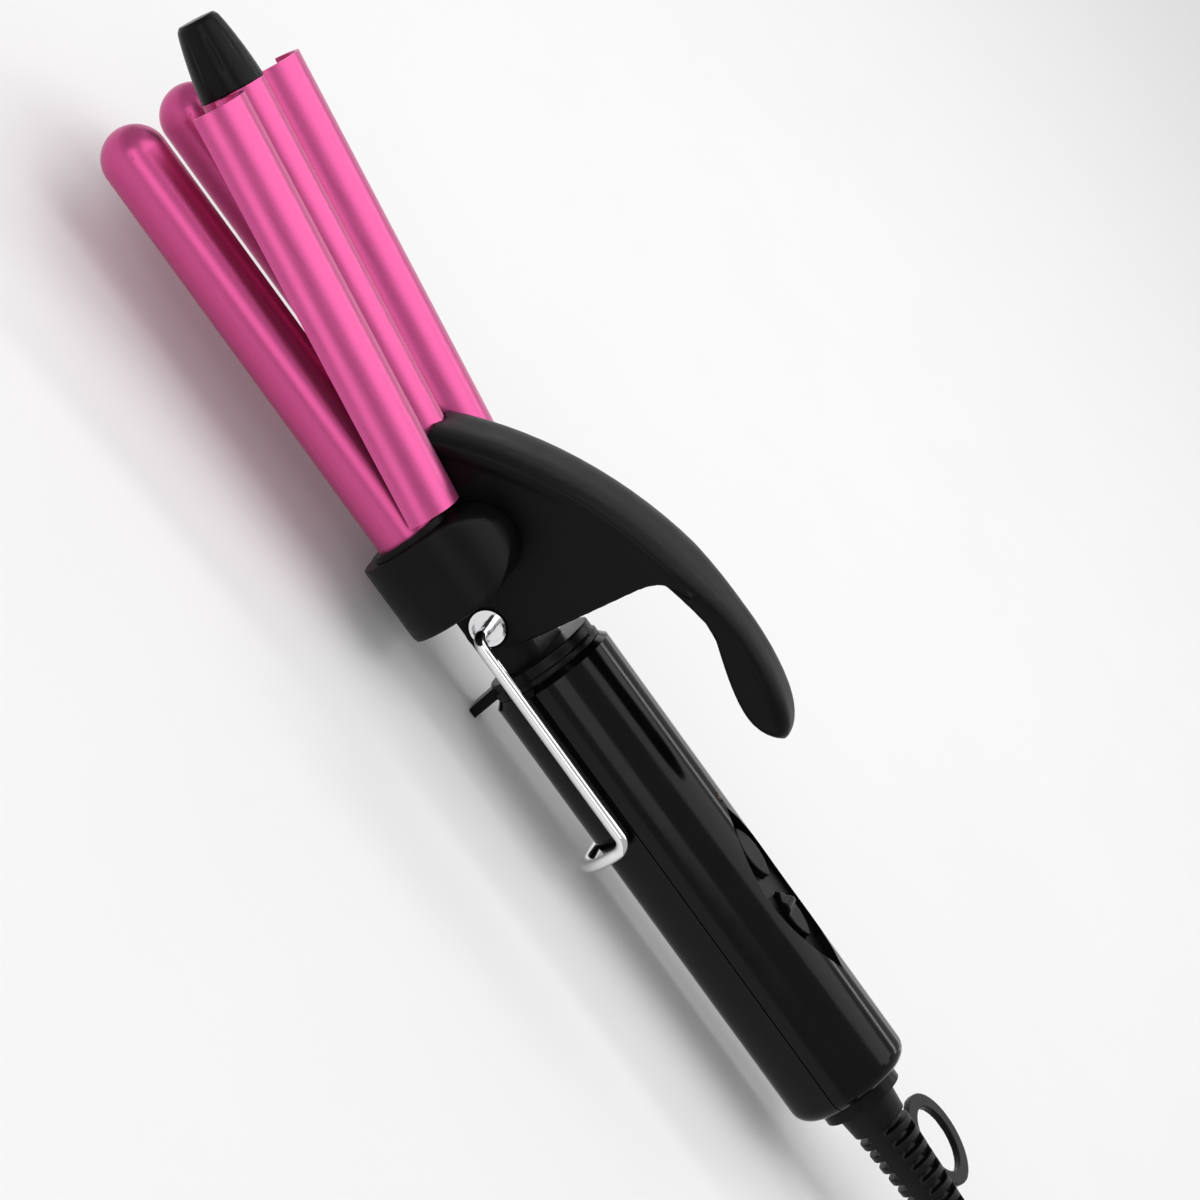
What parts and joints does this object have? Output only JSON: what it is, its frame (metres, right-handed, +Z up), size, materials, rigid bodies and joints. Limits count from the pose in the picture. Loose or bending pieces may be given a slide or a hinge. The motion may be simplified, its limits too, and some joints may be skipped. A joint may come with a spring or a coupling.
{
  "type": "hair crimper",
  "caption": "Electric hair waver with fixed heated barrels on a round handle and a sprung clamp that closes a middle barrel and wing shells over them.",
  "frame": {"origin": "on the floor under the middle of the appliance without its lead: halfway between the tip of the opened clamp and the end of the strain relief, on the plane of left-right symmetry", "axes": "+X along the handle from the barrels towards the lead, +Y to the side that the hanging ring is on, +Z up towards the thumb lever"},
  "size_m": [0.5079, 0.0944, 0.0699],
  "materials": {
    "black_gloss": "moulded, polished",
    "black_satin": "moulded, satin",
    "black_matte": "moulded, fine matte texture, heat resistant",
    "black_pvc": "soft moulded PVC",
    "pink_barrel": "satin pink anodised",
    "pink_clamp": "satin pink anodised",
    "raw_aluminium": "raw extruded",
    "ceramic": "fired ceramic, matte",
    "screw_steel": "zinc plated",
    "spring_steel": "drawn spring wire",
    "bright_chrome": "bright plated",
    "board_green": "solder mask",
    "capacitor_yellow": "moulded case",
    "led_lens": "tinted clear lens",
    "wire_red": "silicone insulation",
    "white_plastic": "moulded",
    "brass_contact": "plain brass",
    "tie_plastic": "woven hook and loop strap"
  },
  "bodies": {
    "handle": {"handle_shell_upper": "black_gloss", "handle_shell_lower": "black_gloss", "neck_collar": "black_satin", "neck_block": "black_satin", "barrel_base": "black_matte", "base_flange": "black_matte", "barrel_near": "pink_barrel", "barrel_far": "pink_barrel", "heat_spreader_near": "raw_aluminium", "heat_spreader_far": "raw_aluminium", "heater_near": "ceramic", "heater_far": "ceramic", "thermal_fuse": "raw_aluminium", "thermistor": "ceramic", "base_screws": "screw_steel", "pivot_rivet": "bright_chrome", "clamp_spring": "spring_steel", "control_panel": "black_satin", "control_board": "board_green", "power_switch": "black_matte", "heat_switch": "screw_steel", "capacitor": "capacitor_yellow", "indicator_led": "led_lens", "handle_screws": "screw_steel", "lead_wires": "wire_red", "swivel_socket": "white_plastic", "contact_brushes": "brass_contact", "cord_lead": "black_pvc", "cord_coil": "black_pvc", "cord_tail": "black_pvc", "cord_tie": "tie_plastic", "mains_plug": "black_pvc", "plug_blades": "brass_contact"},
    "clamp": {"clamp_lever": "black_matte", "clamp_profile": "pink_clamp", "cool_tip": "black_satin", "clamp_bracket": "screw_steel", "clamp_screws": "screw_steel", "heat_spreader_clamp": "raw_aluminium", "heater_clamp": "ceramic"},
    "stand": {"wire_stand": "bright_chrome"},
    "swivel": {"swivel_plug": "black_satin", "slip_rings": "brass_contact", "strain_relief": "black_pvc"},
    "button": {"power_button": "black_satin"},
    "slider": {"heat_slider": "black_satin"}
  },
  "joints": [
    {"name": "clamp_hinge", "type": "hinge", "parent": "handle", "child": "clamp", "pos_m": [-0.02174, 0, 0.0195], "axis": [0, 1, 0], "range_deg": [-8.7, 9], "stiffness_Nm_per_rad": 0.9, "springref_deg": -20.05},
    {"name": "stand_hinge", "type": "hinge", "parent": "handle", "child": "stand", "pos_m": [-0.02174, 0, 0.0195], "axis": [0, 1, 0], "range_deg": [0, 115]},
    {"name": "cord_swivel", "type": "hinge", "parent": "handle", "child": "swivel", "pos_m": [0.12126, 0, 0.0219], "axis": [1, 0, 0], "continuous": true},
    {"name": "power_button_press", "type": "slide", "parent": "handle", "child": "button", "axis": [0, 0, -1], "range_m": [0, 0.0008], "stiffness_N_per_m": 900, "springref_m": -0.0006},
    {"name": "heat_slider_slide", "type": "slide", "parent": "handle", "child": "slider", "axis": [1, 0, 0], "range_m": [-0.003, 0.003]}
  ]
}
